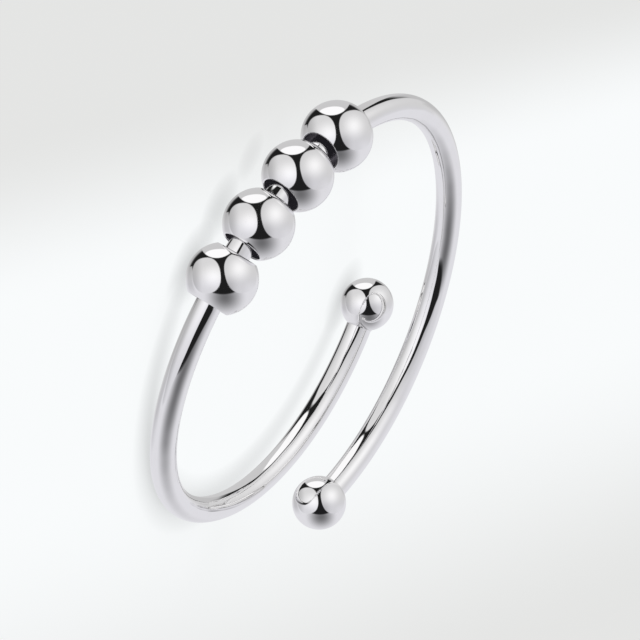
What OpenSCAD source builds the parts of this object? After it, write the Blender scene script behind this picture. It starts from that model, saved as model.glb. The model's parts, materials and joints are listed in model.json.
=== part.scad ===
// Open bypass ring of round wire with a row of beads that spin on it.
// The wire runs past its own start, with a ball soldered to each end: the low arm passes
// below the high arm. The ring lies on its side, as it comes to rest by itself on a table.
// The origin is the centre of the finger opening, +Z is up and +Y points at the beads.

/* [Ring] */
// Diameter of the finger opening, inside the wire
inner_d = 18; // [16:0.5:21]
// Diameter of the round wire
wire_d = 1.1; // [0.9:0.05:1.4]
// Diameter of the ball soldered to each end of the wire
end_ball_d = 2.3; // [1.9:0.05:2.6]

/* [Bypass] */
// Angle round the ring from the middle of the beads to the high arm's bend; the low arm's is opposite
bend_at = 48.5; // [42:0.5:58]
// Angle that the low arm runs on for, from its bend to its ball
low_arm_turn = 79.5; // [65:0.5:90]
// Slope of the low arm below the ring's own plane
low_tilt = 8.9; // [7:0.1:11]
// Angle that the high arm runs on for, from its bend to its ball
high_arm_turn = 157; // [145:0.5:165]
// Slope of the high arm above the ring's own plane
high_tilt = 8.2; // [6:0.1:10]

/* [Beads] */
// Number of beads on the wire
bead_count = 4; // [2:1:4]
// Diameter of each bead
bead_d = 2.95; // [2.4:0.05:3.2]
// Free space between the wire and a bead's bore, all round
bore_clearance = 0.29; // [0.2:0.01:0.36]
// Free space between two neighbouring beads where they come closest, inside the ring
bead_gap = 0.06; // [0.04:0.02:0.3]

/* [Hidden] */
$fn = 96;

silver = [0.86, 0.86, 0.87];
polished_silver = [0.93, 0.93, 0.94];

// Radius of the wire's centre line
ring_r = (inner_d + wire_d) / 2;
bore_r = wire_d / 2 + bore_clearance;
// Half of a bore's length, from the bead's middle to the rim of the hole
bore_half = sqrt(pow(bead_d / 2, 2) - pow(bore_r, 2));
// Space that is still free in a bore where the wire bows inside it
bore_slack = bore_clearance - pow(bore_half, 2) / (2 * ring_r);
// The beads crowd into a row that is straighter than the wire, as far as that space lets them:
// the row's middle stands inside the wire's curve, and its ends stand out against its middle
row_inset = 0.9 * bore_slack;
row_spread = 1.25 * bore_slack;
row_half = bead_count * (bore_half + bead_gap / 2);
most_straightening = 0.2;
straightening = min(most_straightening, 2 * row_spread * ring_r / pow(row_half, 2));
// Radius of the curve through the beads' middles
row_r = ring_r / (1 - straightening);
// Distance from the centre of the row's curve to the nearest point of each rim
rim_reach = row_r - bore_r;
// Angle from one bead to the next, which leaves the gap between their rims
bead_step = 2 * (atan2(bore_half, rim_reach) + asin(bead_gap / 2 / norm([rim_reach, bore_half])));
// How far a bore's cutter stands out of each side of its bead
cut_past = 0.5;

// Directions round the ring, counter-clockwise from +X
beads_at = 90;
high_bend = beads_at - bend_at;
low_bend = high_bend + 180;
// Centre of the row's curve
row_centre = (ring_r - row_inset - row_r) * [cos(beads_at), sin(beads_at), 0];
// Where the wire is first taken to touch the table, before the rest is worked out
first_touch = 180;
// Times that the touching point is worked out again
settling_steps = 6;

function bead_name(i) = str("bead_", i);
// Direction of a bead from the centre of the row's curve
function bead_at(i) = beads_at + (i - (bead_count + 1) / 2) * bead_step;
function bead_middle(i) = row_centre + row_r * [cos(bead_at(i)), sin(bead_at(i)), 0];
function on_ring(direction) = ring_r * [cos(direction), sin(direction), 0];

// Point of an arm's centre line, a turn away from its bend, on an arc tilted about the bend
function on_arm(bend, tilt, turn) =
    let (back = ring_r * (1 - cos(turn)), x = ring_r - back * cos(tilt), y = ring_r * sin(turn))
    [x * cos(bend) - y * sin(bend), x * sin(bend) + y * cos(bend), back * sin(tilt)];

low_end = on_arm(low_bend, -low_tilt, low_arm_turn);
high_end = on_arm(high_bend, high_tilt, -high_arm_turn);

// Upward direction of the table under three round things, each given as [centre, radius]
function up_from_table(a, b, c) =
    let (
        ab = b[0] - a[0],
        ac = c[0] - a[0],
        across = cross(ab, ac),
        lean = ((b[1] - a[1]) * cross(ac, across) + (c[1] - a[1]) * cross(across, ab)) / (across * across)
    )
    lean + sqrt(1 - lean * lean) * across * sign(across.z) / norm(across);

// The ring rests on the low ball, on the last bead and on the wire between them
function settled_up(touch, steps) =
    let (up = up_from_table(
        [low_end, end_ball_d / 2],
        [bead_middle(bead_count), bead_d / 2],
        [on_ring(touch), wire_d / 2]
    ))
    steps == 0 ? up : settled_up(atan2(-up.y, -up.x), steps - 1);

up = settled_up(first_touch, settling_steps);

// Turns the ring from its own plane to how it lies on the table
module lying() {
    rotate(a = acos(up.z), v = cross(up, [0, 0, 1])) children();
}

// Arc of the wire from +X round the ring's axis, counter-clockwise where the turn is positive
module wire_arc(turn, roll = 0) {
    rotate_extrude(angle = turn) translate([ring_r, 0]) rotate(roll) circle(d = wire_d);
}

// Arm of the wire, tilted about the wire's tangent at its bend. Its circle is rolled by the same
// angle, so that its facets line up with those of the ring where the two meet.
module arm(bend, tilt, turn) {
    rotate(bend) translate([ring_r, 0, 0]) rotate([0, tilt, 0]) translate([-ring_r, 0, 0])
        wire_arc(turn, roll = tilt);
}

// Wire and both end balls, soldered into one piece
module band() {
    color(silver) lying() {
        rotate(high_bend) wire_arc(low_bend - high_bend);
        arm(low_bend, -low_tilt, low_arm_turn);
        arm(high_bend, high_tilt, -high_arm_turn);
        for (end = [low_end, high_end]) translate(end) sphere(d = end_ball_d);
    }
}

// Ball with a bore along the wire
module bead(i) {
    color(polished_silver) lying() translate(bead_middle(i)) rotate(bead_at(i)) rotate([90, 0, 0])
        difference() {
            sphere(d = bead_d);
            cylinder(r = bore_r, h = bead_d + 2 * cut_past, center = true);
        }
}

band();
for (i = [1 : bead_count]) bead(i);
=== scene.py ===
"""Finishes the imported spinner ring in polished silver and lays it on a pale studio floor.

The ring is an open bypass ring of round wire. A ball is soldered to each end of the wire,
and drilled beads spin on it.
"""

import json
import math

import bpy
from mathutils import Matrix, Vector


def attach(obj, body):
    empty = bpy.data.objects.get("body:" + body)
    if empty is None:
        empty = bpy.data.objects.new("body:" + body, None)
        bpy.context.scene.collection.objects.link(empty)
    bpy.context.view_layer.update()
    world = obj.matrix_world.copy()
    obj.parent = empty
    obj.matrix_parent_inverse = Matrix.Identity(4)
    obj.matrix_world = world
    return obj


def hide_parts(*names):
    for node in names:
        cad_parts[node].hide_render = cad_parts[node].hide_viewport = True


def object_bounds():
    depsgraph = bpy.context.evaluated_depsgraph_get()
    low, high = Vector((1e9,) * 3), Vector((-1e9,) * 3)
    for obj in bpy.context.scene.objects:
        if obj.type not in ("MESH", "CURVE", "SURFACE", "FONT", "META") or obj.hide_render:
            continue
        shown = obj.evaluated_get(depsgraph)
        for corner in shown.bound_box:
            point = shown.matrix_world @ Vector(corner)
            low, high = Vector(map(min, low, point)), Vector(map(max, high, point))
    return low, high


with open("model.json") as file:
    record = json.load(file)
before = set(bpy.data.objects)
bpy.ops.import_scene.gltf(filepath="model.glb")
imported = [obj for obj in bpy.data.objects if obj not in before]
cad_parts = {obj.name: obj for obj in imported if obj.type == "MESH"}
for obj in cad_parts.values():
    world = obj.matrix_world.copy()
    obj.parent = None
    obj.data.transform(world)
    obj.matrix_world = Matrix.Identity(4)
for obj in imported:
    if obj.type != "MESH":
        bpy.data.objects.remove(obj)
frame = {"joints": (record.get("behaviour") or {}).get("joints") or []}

bl_info = {
    "name": "Spinner ring",
    "version": (1, 0, 0),
    "blender": (4, 5, 0),
    "location": "View3D > Sidebar > Ring",
    "description": "Finishes the packed spinner ring and its studio",
    "category": "Object",
}

MM = 0.001
MICRON = 0.001 * MM
CAD_BOX = [list(corner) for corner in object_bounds()]
# The ring lies on the floor with its lowest point
FLOOR_Z = CAD_BOX[0][2]
# The beads' joints give the place and the direction of each bore
BEAD_JOINTS = [joint for joint in frame["joints"] if joint.get("continuous")]

# Steps along the wire, and sides of its round section
WIRE_STEPS = 640
WIRE_SIDES = 64
# Steps round a turned piece, and along each stretch of its profile
TURN_STEPS = 144
SOLDER_STEPS = 14
END_BALL_STEPS = 100
RIM_STEPS = 10
BEAD_STEPS = 110
BORE_STEPS = 24
# Points of a turned piece that are closer than this are one
WELD = 0.1 * MICRON

# How many times longer than wide a drawn wire's hairlines are
HAIRLINE_STRETCH = 6.0
# Ramps that give a light in the dome a crisp edge, and a softer one
CRISP = (1.03, 0.97)
SOFTER = (1.06, 0.94)
# Turns the greys of a picture into amounts of light
GAMMA = 2.2
# Distance from the middle of the floor to its edges, in metres
FLOOR_HALF = 3.0


def length(name, description, millimetres):
    """A length that a user may change."""
    return bpy.props.FloatProperty(
        name=name, description=description, default=millimetres * MM, unit="LENGTH", precision=5
    )


def angle(name, description, degrees):
    """An angle that a user may change."""
    return bpy.props.FloatProperty(
        name=name, description=description, default=math.radians(degrees), subtype="ANGLE"
    )


def colour(name, description, default):
    """A colour that a user may change."""
    return bpy.props.FloatVectorProperty(
        name=name, description=description, default=default, subtype="COLOR", precision=4
    )


def share(name, description, default):
    """A number from 0 to 1 that a user may change."""
    return bpy.props.FloatProperty(
        name=name, description=description, default=default, min=0.0, max=1.0, subtype="FACTOR"
    )


class RingWireSizes(bpy.types.PropertyGroup):
    """Sizes of the wire and of the balls on its ends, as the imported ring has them."""

    ring_radius: length("Ring radius", "Radius of the wire's centre line", 9.55)
    wire_diameter: length("Wire diameter", "Thickness of the round wire", 1.1)
    end_ball_diameter: length("End ball diameter", "Size of the ball on each end of the wire", 2.3)
    solder_radius: length("Solder radius", "Hollow of the solder where the wire meets a ball", 0.09)
    high_bend: angle("High bend", "Direction to the high arm's bend; the low arm's is opposite", 41.5)
    high_turn: angle("High arm", "Angle that the high arm runs on for, from its bend", 157)
    high_slope: angle("High slope", "Slope of the high arm above the ring's own plane", 8.2)
    low_turn: angle("Low arm", "Angle that the low arm runs on for, from its bend", 79.5)
    low_slope: angle("Low slope", "Slope of the low arm below the ring's own plane", 8.9)
    upward: bpy.props.FloatVectorProperty(
        name="Upward",
        description="Direction away from the table, told from the ring's own plane",
        default=(0.134353, 0.018051, 0.990769),
        subtype="DIRECTION",
    )


class BeadSizes(bpy.types.PropertyGroup):
    """Sizes of a drilled bead."""

    diameter: length("Bead diameter", "Size of a bead", 2.95)
    bore_diameter: length("Bore diameter", "Size of the hole through a bead", 1.68)
    rim_radius: length("Rim radius", "Rounding of the edge of the hole", 0.05)


class SilverFinish(bpy.types.PropertyGroup):
    """Colour and polish of the silver."""

    silver: colour("Silver", "Colour of the polished silver", (0.93, 0.927, 0.927))
    handled_silver: colour("Handled silver", "Colour where handling has dulled it", (0.89, 0.88, 0.87))
    # Painted shade: the dark colour inside the holes is partly unpolished silver and partly painted
    # shade of the deep bore
    bore_silver_and_shade: colour(
        "Bore silver", "Colour inside the holes, which no polishing reaches", (0.3, 0.29, 0.31)
    )
    # Stands for light that bounces in a hole more often than is traced
    bore_glow: colour("Bore glow", "Faint light inside the holes", (0.0095, 0.009, 0.011))
    polish: share("Polish", "Roughness of the polished silver", 0.03)
    haze: share("Haze", "Roughness that the haze of handling adds", 0.04)
    hairlines: share("Hairlines", "Roughness that the hairlines of polishing add", 0.05)


class StudioSetup(bpy.types.PropertyGroup):
    """Place of the camera, and colours and light of the floor."""

    azimuth: angle("Azimuth", "Direction that the camera stands in, round the upright axis", -156.59)
    elevation: angle("Elevation", "Angle of the camera above the floor", 18.89)
    roll: angle("Roll", "Turn of the camera about its own line of sight", 112.77)
    distance: length("Distance", "Distance from the camera to what it aims at", 228.3)
    aim: bpy.props.FloatVectorProperty(
        name="Aim",
        description="Point that the camera looks at",
        default=(-0.007 * MM, -0.289 * MM, 0.7665 * MM),
        subtype="TRANSLATION",
        precision=6,
    )
    lens: bpy.props.FloatProperty(
        name="Lens",
        description="Focal length, for a sensor that is 36 mm wide",
        default=308.24,
        unit="CAMERA",
    )
    floor_light: bpy.props.FloatProperty(
        name="Floor light",
        description="Strength of the soft lamp that lights the floor and doesn't show in the metal",
        default=1.0,
    )
    lamp_width: angle("Lamp width", "Angle that the soft lamp spans, as seen from the ring", 35)
    from_beneath: share("From beneath", "Share of the floor's light that comes from beneath it", 0.9)
    # The floor is painted grey beside a band of painted light, which stands for a broad pool of light
    # and its falloff
    floor_grey: colour("Floor grey", "Colour of the floor beside its bright band", (0.795, 0.8, 0.79))
    painted_light_band: colour("Band white", "Colour of the floor's bright band", (0.965, 0.985, 0.99))
    backdrop: colour("Backdrop", "Colour behind the floor's far edge", (0.78, 0.785, 0.78))


def camera_axes(setup):
    """Right, up and backward directions of the photograph's camera."""
    level = Vector((math.cos(setup.azimuth), math.sin(setup.azimuth), 0))
    back = Vector(
        (
            math.sin(setup.azimuth) * math.cos(setup.elevation),
            -math.cos(setup.azimuth) * math.cos(setup.elevation),
            math.sin(setup.elevation),
        )
    )
    right = Matrix.Rotation(setup.roll, 3, back) @ level
    return right, back.cross(right), back


def plug(tree, value, socket):
    """Sets a socket, or joins it to what gives its value."""
    if isinstance(value, Number):
        tree.links.new(value.socket, socket)
    elif isinstance(value, bpy.types.NodeSocket):
        tree.links.new(value, socket)
    else:
        socket.default_value = value


def add_node(tree, kind, settings=None, inputs=None):
    """Adds a node with its settings, and fills its inputs by name or by number."""
    node = tree.nodes.new(kind)
    for name, value in (settings or {}).items():
        setattr(node, name, value)
    for name, value in (inputs or {}).items():
        plug(tree, value, node.inputs[name])
    return node


class Number:
    """A number that varies over a surface or a curve, worked out by Math nodes."""

    def __init__(self, tree, socket):
        self.tree = tree
        self.socket = socket

    def work_out(self, operation, *values):
        node = add_node(self.tree, "ShaderNodeMath", {"operation": operation}, dict(enumerate(values)))
        return Number(self.tree, node.outputs[0])

    def __add__(self, other):
        return self.work_out("ADD", self, other)

    def __radd__(self, other):
        return self.work_out("ADD", other, self)

    def __sub__(self, other):
        return self.work_out("SUBTRACT", self, other)

    def __rsub__(self, other):
        return self.work_out("SUBTRACT", other, self)

    def __mul__(self, other):
        return self.work_out("MULTIPLY", self, other)

    def __truediv__(self, other):
        return self.work_out("DIVIDE", self, other)

    def power(self, exponent):
        return self.work_out("POWER", self, exponent)

    def root(self):
        return self.work_out("SQRT", self)

    def size(self):
        return self.work_out("ABSOLUTE", self)

    def sine(self):
        return self.work_out("SINE", self)

    def cosine(self):
        return self.work_out("COSINE", self)

    def at_least(self, other):
        return self.work_out("MAXIMUM", self, other)

    def arc_tangent(self, other):
        """Angle of the direction that has this number as its rise and the other as its run."""
        return self.work_out("ARCTAN2", self, other)

    def ramp(self, start, end):
        """Goes smoothly from 0 to 1 as this number goes from start to end."""
        node = add_node(
            self.tree,
            "ShaderNodeMapRange",
            {"interpolation_type": "SMOOTHSTEP"},
            {"Value": self, "From Min": start, "From Max": end},
        )
        return Number(self.tree, node.outputs[0])

    def between(self, low, high):
        """This share of the way from low to high."""
        return self * (high - low) + low


def dot(tree, vector, direction):
    """How far a vector reaches in a direction."""
    node = add_node(
        tree, "ShaderNodeVectorMath", {"operation": "DOT_PRODUCT"}, {0: vector, 1: direction}
    )
    return Number(tree, node.outputs["Value"])


def mix(tree, part, first, second):
    """Colour that is this part of the way from the first colour to the second.

    A Mix node has its colours in inputs 6 and 7 and in output 2.
    """
    ends = {
        6 + index: end if isinstance(end, bpy.types.NodeSocket) else (*end, 1)
        for index, end in enumerate((first, second))
    }
    node = add_node(tree, "ShaderNodeMix", {"data_type": "RGBA"}, {"Factor": part, **ends})
    return node.outputs[2]


class Former:
    """A Geometry Nodes tree with named inputs, which forms one kind of piece."""

    def __init__(self, name):
        self.tree = bpy.data.node_groups.new(name, "GeometryNodeTree")
        self.tree.interface.new_socket("Piece", in_out="OUTPUT", socket_type="NodeSocketGeometry")
        self.given = self.tree.nodes.new("NodeGroupInput")
        self.keys = {}

    def input(self, name, kind="Float"):
        """Adds a named input and returns its socket."""
        item = self.tree.interface.new_socket(
            name, in_out="INPUT", socket_type="NodeSocket" + kind
        )
        self.keys[name] = item.identifier
        return self.given.outputs[name]

    def number(self, name):
        return Number(self.tree, self.input(name))

    def node(self, kind, settings=None, inputs=None):
        """First output of a new node."""
        return add_node(self.tree, kind, settings, inputs).outputs[0]

    def vector(self, x, y, z):
        return self.node("ShaderNodeCombineXYZ", None, {"X": x, "Y": y, "Z": z})

    def join(self, parts):
        node = self.tree.nodes.new("GeometryNodeJoinGeometry")
        # The socket takes the part that is linked last as its first
        for part in reversed(parts):
            self.tree.links.new(part, node.inputs[0])
        return node.outputs[0]

    def arc(self, centre, radius, start, sweep, steps):
        """Arc in the profile's plane, which has the axis along X and the distance from it along Y."""
        curve = self.node(
            "GeometryNodeCurveArc",
            {"mode": "RADIUS"},
            {"Resolution": steps, "Radius": radius, "Start Angle": start, "Sweep Angle": sweep},
        )
        return self.node(
            "GeometryNodeTransform", None, {"Geometry": curve, "Translation": self.vector(*centre, 0)}
        )

    def line(self, start, end):
        """Straight stretch of a profile."""
        return self.node(
            "GeometryNodeCurvePrimitiveLine",
            {"mode": "POINTS"},
            {"Start": self.vector(*start, 0), "End": self.vector(*end, 0)},
        )

    def turned(self, profile, reach, material):
        """Turns a profile about the axis, as a lathe does. Reach is any distance from the axis."""
        rail = self.node(
            "GeometryNodeCurvePrimitiveCircle", None, {"Resolution": TURN_STEPS, "Radius": reach}
        )
        # The rail carries a profile with its X outwards and its Y against the axis
        profile = self.node(
            "GeometryNodeTransform",
            None,
            {
                "Geometry": profile,
                "Rotation": (0, 0, -0.5 * math.pi),
                "Translation": self.vector(reach * -1.0, 0.0, 0.0),
            },
        )
        surface = self.node("GeometryNodeCurveToMesh", None, {"Curve": rail, "Profile Curve": profile})
        return self.node("GeometryNodeSetMaterial", None, {"Geometry": surface, "Material": material})

    def placed(self, piece, centre, axis):
        """Closes a turned piece and puts it where it belongs, with its own axis along the given one."""
        closed = self.node("GeometryNodeMergeByDistance", None, {"Geometry": piece, "Distance": WELD})
        turn = self.node(
            "FunctionNodeAlignRotationToVector", {"axis": "Z"}, {"Vector": axis}
        )
        return self.node(
            "GeometryNodeTransform",
            None,
            {"Geometry": closed, "Translation": centre, "Rotation": turn},
        )

    def finish(self, piece):
        """Ends the tree in one smooth, real mesh."""
        smooth = self.node("GeometryNodeSetShadeSmooth", None, {"Geometry": piece})
        real = self.node("GeometryNodeRealizeInstances", None, {"Geometry": smooth})
        result = self.tree.nodes.new("NodeGroupOutput")
        self.tree.links.new(real, result.inputs[0])

    def form(self, name, values):
        """Runs the tree, and returns what it makes as a plain mesh object at the origin."""
        blank = bpy.data.objects.new(name + "_former", bpy.data.meshes.new(name + "_former"))
        bpy.context.scene.collection.objects.link(blank)
        modifier = blank.modifiers.new(self.tree.name, "NODES")
        modifier.node_group = self.tree
        for key, value in values.items():
            modifier[self.keys[key]] = value
        blank.update_tag()
        graph = bpy.context.evaluated_depsgraph_get()
        mesh = bpy.data.meshes.new_from_object(
            blank.evaluated_get(graph), preserve_all_data_layers=True, depsgraph=graph
        )
        if not mesh.polygons:
            raise RuntimeError(f"{self.tree.name} made nothing for {name}")
        mesh.name = name
        bpy.data.objects.remove(blank)
        piece = bpy.data.objects.new(name, mesh)
        bpy.context.scene.collection.objects.link(piece)
        return piece


def new_material(name):
    """An empty material, and its metal shader."""
    material = bpy.data.materials.new(name)
    material.use_nodes = True
    shader = material.node_tree.nodes["Principled BSDF"]
    shader.inputs["Metallic"].default_value = 1.0
    return material, material.node_tree, shader


def noise(tree, coordinates, scale, detail=2.0, stretch=(1.0, 1.0, 1.0), turn=(0.0, 0.0, 0.0)):
    """Noise over the piece's own coordinates, stretched along a turned direction.

    The scale is the number of cells to a metre.
    """
    mapping = add_node(
        tree,
        "ShaderNodeMapping",
        None,
        {"Vector": coordinates, "Rotation": turn, "Scale": stretch},
    )
    texture = add_node(
        tree,
        "ShaderNodeTexNoise",
        None,
        {"Vector": mapping.outputs[0], "Scale": scale, "Detail": detail},
    )
    return Number(tree, texture.outputs["Fac"])


def bump(tree, shader, *reliefs):
    """Raises patterns on a surface, each given with its height in metres."""
    normal = None
    for pattern, height in reliefs:
        node = add_node(tree, "ShaderNodeBump", None, {"Height": pattern, "Distance": height})
        if normal:
            tree.links.new(normal, node.inputs["Normal"])
        normal = node.outputs[0]
    tree.links.new(normal, shader.inputs["Normal"])


def polished_silver(name, finish, drawn):
    """Mirror polish with faint hairlines and handling haze. Drawn wire has its hairlines lengthwise."""
    material, tree, shader = new_material(name)
    coordinates = tree.nodes.new("ShaderNodeTexCoord").outputs["Object"]
    handled = noise(tree, coordinates, 900.0, 3.0).ramp(0.45, 0.75)
    if drawn:
        core = add_node(tree, "ShaderNodeAttribute", {"attribute_name": "core"}).outputs["Vector"]
        spoke = add_node(
            tree, "ShaderNodeVectorMath", {"operation": "SUBTRACT"}, {0: coordinates, 1: core}
        )
        along = add_node(tree, "ShaderNodeAttribute", {"attribute_name": "along"}).outputs["Fac"]
        grain = add_node(
            tree,
            "ShaderNodeTexNoise",
            {"noise_dimensions": "4D"},
            {
                "Vector": spoke.outputs[0],
                "W": Number(tree, along) / HAIRLINE_STRETCH,
                "Scale": 9000.0,
                "Detail": 2.0,
            },
        )
        lines = Number(tree, grain.outputs["Fac"]).ramp(0.62, 0.74)
    else:
        first = noise(tree, coordinates, 14000.0, 1.0, (0.04, 1.0, 1.0), (0.3, 0.5, 0.9))
        second = noise(tree, coordinates, 14000.0, 1.0, (1.0, 0.03, 1.0), (1.1, 0.2, 0.4))
        lines = first.at_least(second).ramp(0.62, 0.74)
    roughness = handled * finish.haze + lines * finish.hairlines + finish.polish
    tree.links.new(roughness.socket, shader.inputs["Roughness"])
    tint = mix(tree, handled * 0.35, finish.silver, finish.handled_silver)
    tree.links.new(tint, shader.inputs["Base Color"])
    # A hand leaves the metal very slightly wavy, the wire more than the balls
    scale, height = (500.0, 50 * MICRON) if drawn else (700.0, 2 * MICRON)
    waves = noise(tree, coordinates, scale, 1.0)
    bump(tree, shader, (waves, height), (lines * -1.0, 0.1 * MICRON))
    return material


def bored_silver(finish):
    """Silver inside the holes, darker partly as unpolished metal and partly as painted shade of the
    hole, with the rings that a drill leaves.
    """
    material, tree, shader = new_material("Bored silver")
    coordinates = tree.nodes.new("ShaderNodeTexCoord").outputs["Object"]
    stain = noise(tree, coordinates, 2500.0, 1.0)
    stained = [0.7 * part for part in finish.bore_silver_and_shade]
    # The dark base colour is partly painted shade of the hole and partly unpolished silver; the stain
    # is real tone that differs at random
    tint = mix(tree, stain.ramp(0.35, 0.7), finish.bore_silver_and_shade, stained)
    tree.links.new(tint, shader.inputs["Base Color"])
    tree.links.new(stain.between(0.14, 0.24).socket, shader.inputs["Roughness"])
    depth = add_node(tree, "ShaderNodeAttribute", {"attribute_name": "depth"}).outputs["Fac"]
    # The drill goes in 0.105 mm with each turn, which is 60 radians to the millimetre
    turn_rate = 60 / MM
    rings = (Number(tree, depth) * turn_rate).sine()
    bump(tree, shader, (rings, 0.3 * MICRON))
    shader.inputs["Emission Color"].default_value = (*finish.bore_glow, 1)
    shader.inputs["Emission Strength"].default_value = 1.0
    return material


def wire_point(sizes, turn):
    """Point of the wire's centre line, told from the ring's own plane, at an angle from +X."""
    low_bend = sizes.high_bend + math.pi
    radius = sizes.ring_radius
    high_back = radius * (1 - math.cos(max(sizes.high_bend - turn, 0)))
    low_back = radius * (1 - math.cos(max(turn - low_bend, 0)))
    out = high_back * (1 - math.cos(sizes.high_slope)) - low_back * (1 - math.cos(sizes.low_slope))
    return Vector(
        (
            radius * math.cos(turn) + out * math.cos(sizes.high_bend),
            radius * math.sin(turn) + out * math.sin(sizes.high_bend),
            high_back * math.sin(sizes.high_slope) - low_back * math.sin(sizes.low_slope),
        )
    )


def lying(sizes):
    """Turn from the ring's own plane to how it lies on the table."""
    return Vector(sizes.upward).rotation_difference(Vector((0, 0, 1)))


def wire_ends(sizes):
    """Centre of each end ball, and the direction from it back along the wire."""
    turn = lying(sizes)
    step = math.radians(0.1)
    ends = []
    for name, end, inward in (
        ("high", sizes.high_bend - sizes.high_turn, step),
        ("low", sizes.high_bend + math.pi + sizes.low_turn, -step),
    ):
        centre = wire_point(sizes, end)
        back = (wire_point(sizes, end + inward) - centre).normalized()
        ends.append((name, turn @ centre, turn @ back))
    return ends


def wire_former():
    """Tree that runs a round wire along the ring and both of its arms."""
    former = Former("Bypass wire")
    tree = former.tree
    radius = former.number("Ring radius")
    thickness = former.number("Wire diameter")
    high_bend = former.number("High bend")
    high_turn = former.number("High arm")
    high_slope = former.number("High slope")
    low_turn = former.number("Low arm")
    low_slope = former.number("Low slope")
    upward = former.input("Upward", "Vector")
    material = former.input("Material", "Material")
    straight = former.node("GeometryNodeCurvePrimitiveLine", {"mode": "POINTS"})
    rail = former.node(
        "GeometryNodeResampleCurve", {"mode": "COUNT"}, {"Curve": straight, "Count": WIRE_STEPS}
    )
    passed = Number(tree, former.node("GeometryNodeSplineParameter"))
    start = high_bend - high_turn
    turn = start + passed * (high_turn + low_turn + math.pi)
    high_back = radius * (1.0 - (high_bend - turn).at_least(0.0).cosine())
    low_back = radius * (1.0 - (turn - high_bend - math.pi).at_least(0.0).cosine())
    out = high_back * (1.0 - high_slope.cosine()) - low_back * (1.0 - low_slope.cosine())
    place = former.vector(
        radius * turn.cosine() + out * high_bend.cosine(),
        radius * turn.sine() + out * high_bend.sine(),
        high_back * high_slope.sine() - low_back * low_slope.sine(),
    )
    rail = former.node("GeometryNodeSetPosition", None, {"Geometry": rail, "Position": place})
    leaning = former.node("FunctionNodeAlignRotationToVector", {"axis": "Z"}, {"Vector": upward})
    upright = former.node("FunctionNodeInvertRotation", None, {"Rotation": leaning})
    rail = former.node("GeometryNodeTransform", None, {"Geometry": rail, "Rotation": upright})
    rail = former.node(
        "GeometryNodeStoreNamedAttribute",
        {"data_type": "FLOAT_VECTOR", "domain": "POINT"},
        {"Geometry": rail, "Name": "core", "Value": former.node("GeometryNodeInputPosition")},
    )
    travelled = tree.nodes.new("GeometryNodeSplineParameter").outputs["Length"]
    rail = former.node(
        "GeometryNodeStoreNamedAttribute",
        {"data_type": "FLOAT", "domain": "POINT"},
        {"Geometry": rail, "Name": "along", "Value": travelled},
    )
    section = former.node(
        "GeometryNodeCurvePrimitiveCircle",
        None,
        {"Resolution": WIRE_SIDES, "Radius": thickness / 2.0},
    )
    wire = former.node(
        "GeometryNodeCurveToMesh",
        None,
        {"Curve": rail, "Profile Curve": section, "Fill Caps": True},
    )
    former.finish(
        former.node("GeometryNodeSetMaterial", None, {"Geometry": wire, "Material": material})
    )
    return former


def end_ball_former():
    """Tree that turns a ball with the solder that runs from it onto the wire."""
    former = Former("Soldered end ball")
    ball = former.number("Ball diameter") / 2.0
    wire = former.number("Wire diameter") / 2.0
    solder = former.number("Solder radius")
    centre = former.input("Centre", "Vector")
    axis = former.input("Axis", "Vector")
    material = former.input("Material", "Material")
    # The solder's hollow touches the ball and the wire
    out = wire + solder
    reach = ball + solder
    along = (reach * reach - out * out).root()
    met = out.arc_tangent(along)
    profile = former.join(
        [
            former.line((along, 0.0), (along, wire)),
            former.arc((along, out), solder, 1.5 * math.pi, met - math.pi / 2, SOLDER_STEPS),
            former.arc((0.0, 0.0), ball, met, math.pi - met, END_BALL_STEPS),
        ]
    )
    former.finish(former.placed(former.turned(profile, ball, material), centre, axis))
    return former


def bead_former():
    """Tree that turns a drilled bead with a rounded edge round each end of its bore."""
    former = Former("Drilled bead")
    bead = former.number("Bead diameter") / 2.0
    bore = former.number("Bore diameter") / 2.0
    rim = former.number("Rim radius")
    centre = former.input("Centre", "Vector")
    axis = former.input("Axis", "Vector")
    polished = former.input("Polished", "Material")
    bored = former.input("Bored", "Material")
    # The rounding touches the ball and the bore from inside the metal
    out = bore + rim
    reach = bead - rim
    along = (reach * reach - out * out).root()
    met = out.arc_tangent(along)
    outside = former.join(
        [
            former.arc((along, out), rim, -0.5 * math.pi, met + math.pi / 2, RIM_STEPS),
            former.arc((0.0, 0.0), bead, met, math.pi - met * 2.0, BEAD_STEPS),
            former.arc((along * -1.0, out), rim, math.pi - met, met + math.pi / 2, RIM_STEPS),
        ]
    )
    bore_line = former.node(
        "GeometryNodeResampleCurve",
        {"mode": "COUNT"},
        {"Curve": former.line((along * -1.0, bore), (along, bore)), "Count": BORE_STEPS},
    )
    travelled = former.tree.nodes.new("GeometryNodeSplineParameter").outputs["Length"]
    bore_line = former.node(
        "GeometryNodeStoreNamedAttribute",
        {"data_type": "FLOAT", "domain": "POINT"},
        {"Geometry": bore_line, "Name": "depth", "Value": travelled},
    )
    shell = former.join(
        [former.turned(outside, bead, polished), former.turned(bore_line, bead, bored)]
    )
    former.finish(former.placed(shell, centre, axis))
    return former


class RING_OT_camera(bpy.types.Operator):
    """Sets up the camera at the photograph's angle"""

    bl_idname = "ring.camera"
    bl_label = "Set Up Camera"

    def execute(self, context):
        setup = context.scene.ring_studio
        right, up, back = camera_axes(setup)
        lens = bpy.data.cameras.new("Camera")
        lens.sensor_width = 36.0
        lens.lens = setup.lens
        lens.clip_start = 0.01
        lens.clip_end = 20.0
        camera = bpy.data.objects.new("Camera", lens)
        context.scene.collection.objects.link(camera)
        turn = Matrix((right, up, back)).transposed()
        place = Vector(setup.aim) + back * setup.distance
        camera.matrix_world = Matrix.Translation(place) @ turn.to_4x4()
        context.scene.camera = camera
        return {"FINISHED"}


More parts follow.
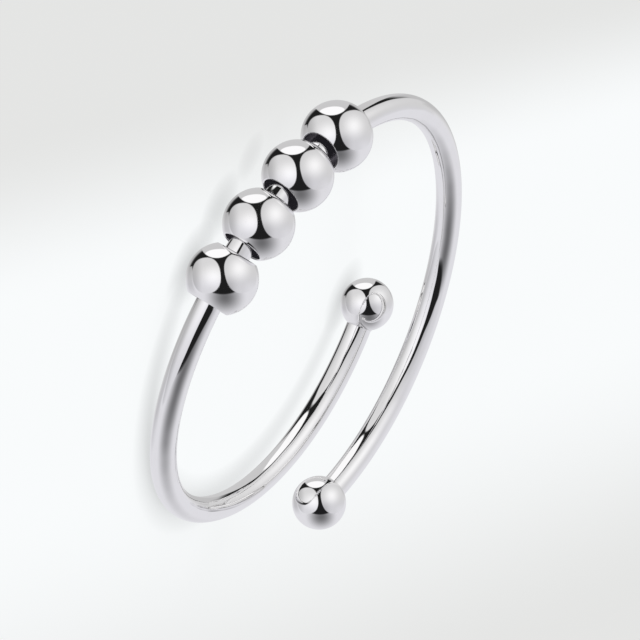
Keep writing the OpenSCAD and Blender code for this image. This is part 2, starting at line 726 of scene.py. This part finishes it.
class RING_OT_wire(bpy.types.Operator):
    """Runs the round wire along the ring and both of its arms"""

    bl_idname = "ring.wire"
    bl_label = "Make Wire"

    def execute(self, context):
        sizes = context.scene.ring_wire
        finish = context.scene.ring_finish
        wire = wire_former().form(
            "silver_wire",
            {
                "Ring radius": sizes.ring_radius,
                "Wire diameter": sizes.wire_diameter,
                "High bend": sizes.high_bend,
                "High arm": sizes.high_turn,
                "High slope": sizes.high_slope,
                "Low arm": sizes.low_turn,
                "Low slope": sizes.low_slope,
                "Upward": tuple(sizes.upward),
                "Material": polished_silver("Drawn silver", finish, True),
            },
        )
        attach(wire, "band")
        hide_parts("band")
        return {"FINISHED"}


class RING_OT_end_balls(bpy.types.Operator):
    """Solders a ball to each end of the wire"""

    bl_idname = "ring.end_balls"
    bl_label = "Make End Balls"

    def execute(self, context):
        sizes = context.scene.ring_wire
        former = end_ball_former()
        finish = context.scene.ring_finish
        material = polished_silver("Ball silver", finish, False)
        for name, centre, axis in wire_ends(sizes):
            ball = former.form(
                f"{name}_end_ball",
                {
                    "Ball diameter": sizes.end_ball_diameter,
                    "Wire diameter": sizes.wire_diameter,
                    "Solder radius": sizes.solder_radius,
                    "Centre": tuple(centre),
                    "Axis": tuple(axis),
                    "Material": material,
                },
            )
            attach(ball, "band")
            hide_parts("band")
        return {"FINISHED"}


class RING_OT_beads(bpy.types.Operator):
    """Threads the drilled beads on the wire, each where its joint is"""

    bl_idname = "ring.beads"
    bl_label = "Make Beads"

    def execute(self, context):
        sizes = context.scene.ring_beads
        former = bead_former()
        finish = context.scene.ring_finish
        polished = polished_silver("Bead silver", finish, False)
        bored = bored_silver(finish)
        for joint in BEAD_JOINTS:
            node = joint["child"]
            bead = former.form(
                f"polished_{node}",
                {
                    "Bead diameter": sizes.diameter,
                    "Bore diameter": sizes.bore_diameter,
                    "Rim radius": sizes.rim_radius,
                    "Centre": tuple(joint["pos_m"]),
                    "Axis": tuple(joint["axis"]),
                    "Polished": polished,
                    "Bored": bored,
                },
            )
            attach(bead, node)
            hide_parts(node)
        return {"FINISHED"}


def outline(x, y, centre, half, degrees=0.0, squareness=2.0):
    """Number that is 1 on a rounded outline in a ball's disc, and less inside it.

    The outline is an oval at squareness 2 and comes nearer to a rectangle above that.
    """
    cosine = math.cos(math.radians(degrees))
    sine = math.sin(math.radians(degrees))
    across = ((x - centre[0]) * cosine + (y - centre[1]) * sine) / half[0]
    upward = ((y - centre[1]) * cosine - (x - centre[0]) * sine) / half[1]
    total = across.size().power(squareness) + upward.size().power(squareness)
    return total.power(1.0 / squareness)


def dome_greys(x, y):
    """Grey that a polished ball shows at a place in its disc, from 0 for black to 1 for white.

    The disc reaches from -1 to 1 both ways. Each outline has its centre, its half width and half
    height, its turn and its squareness.
    """
    reach = (x * x + y * y).root()
    # Pale walls, greyer at the edges, and a floor that is shaded in front of the dark field
    grey = 0.87 - outline(x, y, (0.08, -0.5), (0.62, 0.55)).ramp(1.0, 0.0) * 0.45
    grey = grey - reach.ramp(0.75, 0.97) * y.ramp(-0.1, 0.5) * 0.13
    edge = reach.ramp(0.75, 0.84) * reach.ramp(1.0, 0.9) * x.ramp(-0.4, -0.7)
    grey = grey - edge * y.ramp(-0.5, -0.1) * 0.12
    # Dark field behind the lights, with a wing that runs out to the left
    field = outline(x, y, (0.03, 0.39), (0.84, 0.81)).ramp(*CRISP)
    wing = outline(x, y, (-0.57, 0.63), (0.45, 0.14), 38).ramp(*CRISP)
    dark = field.at_least(wing) * reach.ramp(0.96, 0.9)
    grey = dark.between(grey, 0.14)
    # Left light
    glow = outline(x, y, (-0.22, 0.06), (0.5, 0.44)).ramp(1.0, 0.0)
    light = 0.85 + glow * 0.14 - x.ramp(-0.5, -0.8) * 0.14
    card = outline(x, y, (-0.418, 0.09), (0.384, 0.484), 6, 2.35).ramp(*CRISP)
    grey = card.between(grey, light)
    # Right light
    glow = outline(x, y, (0.46, 0.28), (0.42, 0.46)).ramp(1.0, 0.0)
    light = 0.82 + glow * 0.16 + y.ramp(0.0, -0.3) * x.ramp(0.5, 0.8) * 0.04
    light = light - x.ramp(0.5, 0.1) * y.ramp(0.15, -0.3) * 0.16
    card = outline(x, y, (0.495, 0.166), (0.417, 0.552), 13, 2.42).ramp(*CRISP)
    grey = card.between(grey, light)
    # Lamp overhead, in front of a grey ceiling
    lamp = outline(x, y, (-0.13, 0.685), (0.34, 0.12), 5).ramp(*SOFTER)
    ceiling = outline(x, y, (-0.13, 1.0), (0.49, 0.44), 10).ramp(*CRISP)
    return ceiling.between(grey, lamp.between(0.785, 1.0))


def light_dome(setup):
    """Studio dome: what the metal reflects, laid out as a ball seen by the camera shows it."""
    world = bpy.data.worlds.new("Studio dome")
    world.use_nodes = True
    bpy.context.scene.world = world
    tree = world.node_tree
    right, up, back = camera_axes(setup)
    direction = tree.nodes.new("ShaderNodeTexCoord").outputs["Generated"]
    facing = add_node(tree, "ShaderNodeVectorMath", {"operation": "ADD"}, {0: direction, 1: back})
    facing = add_node(tree, "ShaderNodeVectorMath", {"operation": "NORMALIZE"}, {0: facing.outputs[0]})
    x, y = (dot(tree, facing.outputs[0], axis) for axis in (right, up))
    light = dome_greys(x, y).power(GAMMA)
    # The light is a little violet, and more so from below
    blue = y.ramp(0.3, -0.3).between(1.055, 1.1)
    reflected = add_node(
        tree,
        "ShaderNodeCombineColor",
        None,
        {"Red": light * 1.05, "Green": light * 1.045, "Blue": light * blue},
    )
    # Behind the floor's far edge, the camera sees an even pale grey
    seen = tree.nodes.new("ShaderNodeLightPath").outputs["Is Camera Ray"]
    shown = mix(tree, seen, reflected.outputs[0], setup.backdrop)
    tree.links.new(shown, tree.nodes["Background"].inputs["Color"])


def floor_material(setup):
    """Pale matt floor that is lit from beneath, with a broad band of painted light across it and
    painted contact shadows near the metal.
    """
    material = bpy.data.materials.new("Studio floor")
    material.use_nodes = True
    tree = material.node_tree
    matt = tree.nodes["Principled BSDF"]
    matt.inputs["Roughness"].default_value = 0.8
    matt.inputs["Specular IOR Level"].default_value = 0.1
    coordinates = tree.nodes.new("ShaderNodeTexCoord").outputs["Object"]
    # Each edge of the painted band of light: the direction across it, where it begins and where it is
    # at its brightest
    edges = (
        ((0.77, 0.64, 0), 10.6 * MM, 3.2 * MM),
        ((0.8, 0.6, 0), -25.2 * MM, -7.1 * MM),
    )
    first, second = (
        dot(tree, coordinates, across).ramp(start, end) for across, start, end in edges
    )
    # Painted light: the floor's colour goes from grey to white across the band, as a broad pool of
    # light would make it
    tint = mix(tree, first * second, setup.floor_grey, setup.painted_light_band)
    tree.links.new(tint, matt.inputs["Base Color"])
    # Painted contact shadow: the light from beneath is dimmed where the metal stands close to the floor
    painted_shadow_openness = add_node(tree, "ShaderNodeAmbientOcclusion", {"samples": 8}, {"Distance": 1.0 * MM})
    strength = Number(tree, painted_shadow_openness.outputs["AO"]).between(0.68, 1.0)
    lit = add_node(tree, "ShaderNodeEmission", None, {"Color": tint, "Strength": strength})
    blend = add_node(
        tree,
        "ShaderNodeMixShader",
        None,
        {0: setup.from_beneath, 1: matt.outputs[0], 2: lit.outputs[0]},
    )
    tree.links.new(blend.outputs[0], tree.nodes["Material Output"].inputs["Surface"])
    return material


class RING_OT_stage(bpy.types.Operator):
    """Lays the pale floor and lights it softly"""

    bl_idname = "ring.stage"
    bl_label = "Make Stage"

    def execute(self, context):
        setup = context.scene.ring_studio
        light_dome(setup)
        mesh = bpy.data.meshes.new("floor")
        corners = ((-1, -1), (1, -1), (1, 1), (-1, 1))
        points = [(x * FLOOR_HALF, y * FLOOR_HALF, FLOOR_Z) for x, y in corners]
        mesh.from_pydata(points, [], [(0, 1, 2, 3)])
        mesh.materials.append(floor_material(setup))
        floor = bpy.data.objects.new("floor", mesh)
        context.scene.collection.objects.link(floor)
        floor.visible_glossy = False
        lamp = bpy.data.lights.new("Soft lamp", "SUN")
        lamp.energy = setup.floor_light
        lamp.angle = setup.lamp_width
        holder = bpy.data.objects.new("Soft lamp", lamp)
        # Light that comes from the picture's upper side
        upper = camera_axes(setup)[1]
        towards = Vector((upper.x, upper.y, 0)).normalized() + Vector((0, 0, 1))
        holder.rotation_euler = towards.to_track_quat("Z", "Y").to_euler()
        holder.visible_glossy = False
        context.scene.collection.objects.link(holder)
        context.scene.view_settings.view_transform = "Standard"
        context.scene.view_settings.look = "None"
        return {"FINISHED"}


class RING_PT_panel(bpy.types.Panel):
    """Lists the steps that finish the ring"""

    bl_idname = "RING_PT_panel"
    bl_label = "Spinner ring"
    bl_space_type = "VIEW_3D"
    bl_region_type = "UI"
    bl_category = "Ring"

    def draw(self, context):
        for step in STEPS:
            self.layout.operator(step.bl_idname)
        for group_name, group in GROUPS.items():
            for name in group.__annotations__:
                self.layout.prop(getattr(context.scene, group_name), name)


GROUPS = {
    "ring_wire": RingWireSizes,
    "ring_beads": BeadSizes,
    "ring_finish": SilverFinish,
    "ring_studio": StudioSetup,
}
STEPS = (RING_OT_camera, RING_OT_wire, RING_OT_end_balls, RING_OT_beads, RING_OT_stage)


def register():
    for kind in (*GROUPS.values(), *STEPS, RING_PT_panel):
        bpy.utils.register_class(kind)
    for name, group in GROUPS.items():
        setattr(bpy.types.Scene, name, bpy.props.PointerProperty(type=group))


def unregister():
    for name in GROUPS:
        delattr(bpy.types.Scene, name)
    for kind in (RING_PT_panel, *reversed(STEPS), *reversed(GROUPS.values())):
        bpy.utils.unregister_class(kind)


def main():
    register()
    bpy.ops.ring.camera()
    bpy.ops.ring.wire()
    bpy.ops.ring.end_balls()
    bpy.ops.ring.beads()
    bpy.ops.ring.stage()


if __name__ == "__main__":
    main()
